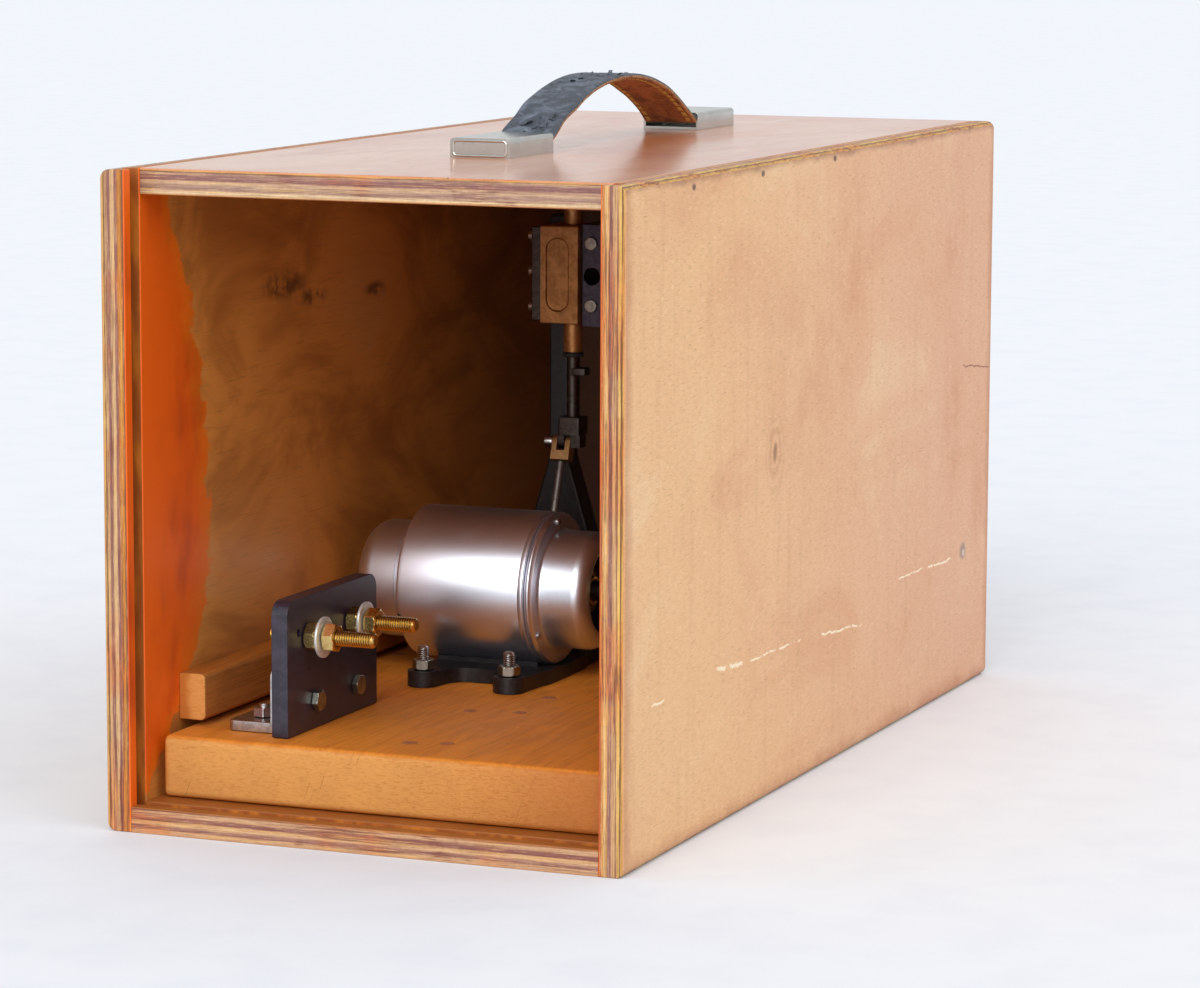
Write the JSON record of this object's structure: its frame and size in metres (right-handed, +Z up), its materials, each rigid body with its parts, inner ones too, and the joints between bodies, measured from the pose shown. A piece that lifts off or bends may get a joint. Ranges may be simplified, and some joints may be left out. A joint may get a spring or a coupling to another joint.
{
  "type": "galvanometer",
  "caption": "Motor-driven laboratory plunger instrument on a slide-out board with binding posts, in an open-fronted plywood carrying case with a leather strap handle.",
  "frame": {"origin": "centre of the case's underside", "axes": "+Z up, the open front of the case faces -Y, +X is to the right seen from the front"},
  "size_m": [0.21, 0.444, 0.2775],
  "materials": {
    "case_plywood": "glossy orange varnish over birch plywood",
    "board_wood": "satin varnish over a solid board",
    "nickel_cap": "worn nickel plate",
    "strap_leather": "black worn leather, brown underneath",
    "ebonite": "black moulded sheet, sawn edges",
    "zinc_steel": "dull zinc plate",
    "bare_steel": "bare steel, lightly stained",
    "dark_steel": "oiled dark steel",
    "brass": "tarnished brass",
    "bronze": "dull tan bronze",
    "aluminium": "finely turned, satin",
    "black_casting": "black enamel over a casting",
    "belt_rubber": "matt black rubber",
    "field_iron": "laminated iron with varnished windings"
  },
  "bodies": {
    "case": {"case_back_panel": "case_plywood", "case_bottom_panel": "case_plywood", "case_side_left": "case_plywood", "case_side_right": "case_plywood", "case_top_panel": "case_plywood", "guide_batten_left": "board_wood", "guide_batten_right": "board_wood", "handle_cap_front": "nickel_cap", "handle_cap_rear": "nickel_cap", "handle_strap": "strap_leather"},
    "board": {"angle_bolt_1": "zinc_steel", "angle_bolt_2": "zinc_steel", "base_board": "board_wood", "drive_belt": "belt_rubber", "gland_ring": "belt_rubber", "gland_tube": "brass", "head_block": "bronze", "head_plate_left": "bare_steel", "head_plate_right": "bare_steel", "head_screw_1": "zinc_steel", "head_screw_2": "zinc_steel", "motor_body": "aluminium", "motor_bolt_1": "zinc_steel", "motor_bolt_2": "zinc_steel", "motor_bolt_3": "zinc_steel", "motor_bolt_4": "zinc_steel", "motor_bush_left": "brass", "motor_bush_right": "brass", "motor_field_ring": "field_iron", "motor_foot": "black_casting", "motor_left_cover": "aluminium", "motor_right_shield": "aluminium", "plate_screw_1": "zinc_steel", "plate_screw_2": "zinc_steel", "shaft_bush": "bronze", "shaft_pedestal": "black_casting", "stand_casting": "black_casting", "terminal_angle": "bare_steel", "terminal_back_nut_1": "brass", "terminal_back_nut_2": "brass", "terminal_clamp_nut_1": "brass", "terminal_clamp_nut_2": "brass", "terminal_plate": "ebonite", "terminal_stud_1": "brass", "terminal_stud_2": "brass", "top_tube": "brass"},
    "motor_rotor": {"motor_armature": "dark_steel", "motor_pulley": "brass"},
    "crank": {"cross_shaft": "dark_steel", "driven_pulley": "brass", "crank_disc": "dark_steel"},
    "plunger": {"plunger_rod": "dark_steel", "crosshead": "dark_steel"},
    "connecting_rod": {"connecting_rod": "bare_steel", "rod_fork": "bronze", "crosshead_pin": "zinc_steel"},
    "washer_1": {"terminal_washer_1": "zinc_steel"},
    "nut_1": {"terminal_nut_1": "brass"},
    "washer_2": {"terminal_washer_2": "zinc_steel"},
    "nut_2": {"terminal_nut_2": "brass"}
  },
  "joints": [
    {"name": "board_slide", "type": "slide", "parent": "case", "child": "board", "axis": [0, -1, 0], "range_m": [0, 0.4]},
    {"name": "motor_spin", "type": "hinge", "parent": "board", "child": "motor_rotor", "pos_m": [0, -0.03, 0.0705], "axis": [1, 0, 0], "continuous": true},
    {"name": "crank_spin", "type": "hinge", "parent": "board", "child": "crank", "pos_m": [0, 0.0445, 0.0675], "axis": [1, 0, 0], "continuous": true},
    {"name": "plunger_stroke", "type": "slide", "parent": "board", "child": "plunger", "axis": [0, 0, 1], "range_m": [-0.0021, 0.0041]},
    {"name": "rod_swing", "type": "hinge", "parent": "plunger", "child": "connecting_rod", "pos_m": [-0.0353, 0.06, 0.118], "axis": [1, 0, 0], "range_deg": [-0.5, 6.8]},
    {"name": "washer_1_travel", "type": "slide", "parent": "board", "child": "washer_1", "axis": [1, 0, 0], "range_m": [0, 0.009]},
    {"name": "nut_1_turn", "type": "hinge", "parent": "washer_1", "child": "nut_1", "pos_m": [0, -0.1737, 0.071], "axis": [1, 0, 0], "range_deg": [0, 3241]},
    {"name": "washer_2_travel", "type": "slide", "parent": "board", "child": "washer_2", "axis": [1, 0, 0], "range_m": [0, 0.009]},
    {"name": "nut_2_turn", "type": "hinge", "parent": "washer_2", "child": "nut_2", "pos_m": [0, -0.1362, 0.071], "axis": [1, 0, 0], "range_deg": [0, 3241]}
  ],
  "couplings": [
    {"joint": "motor_spin", "follows": "crank_spin", "ratio": 2},
    {"joint": "nut_1_turn", "follows": "washer_1_travel", "rad_per_m": 6283.2},
    {"joint": "nut_2_turn", "follows": "washer_2_travel", "rad_per_m": 6283.2}
  ]
}
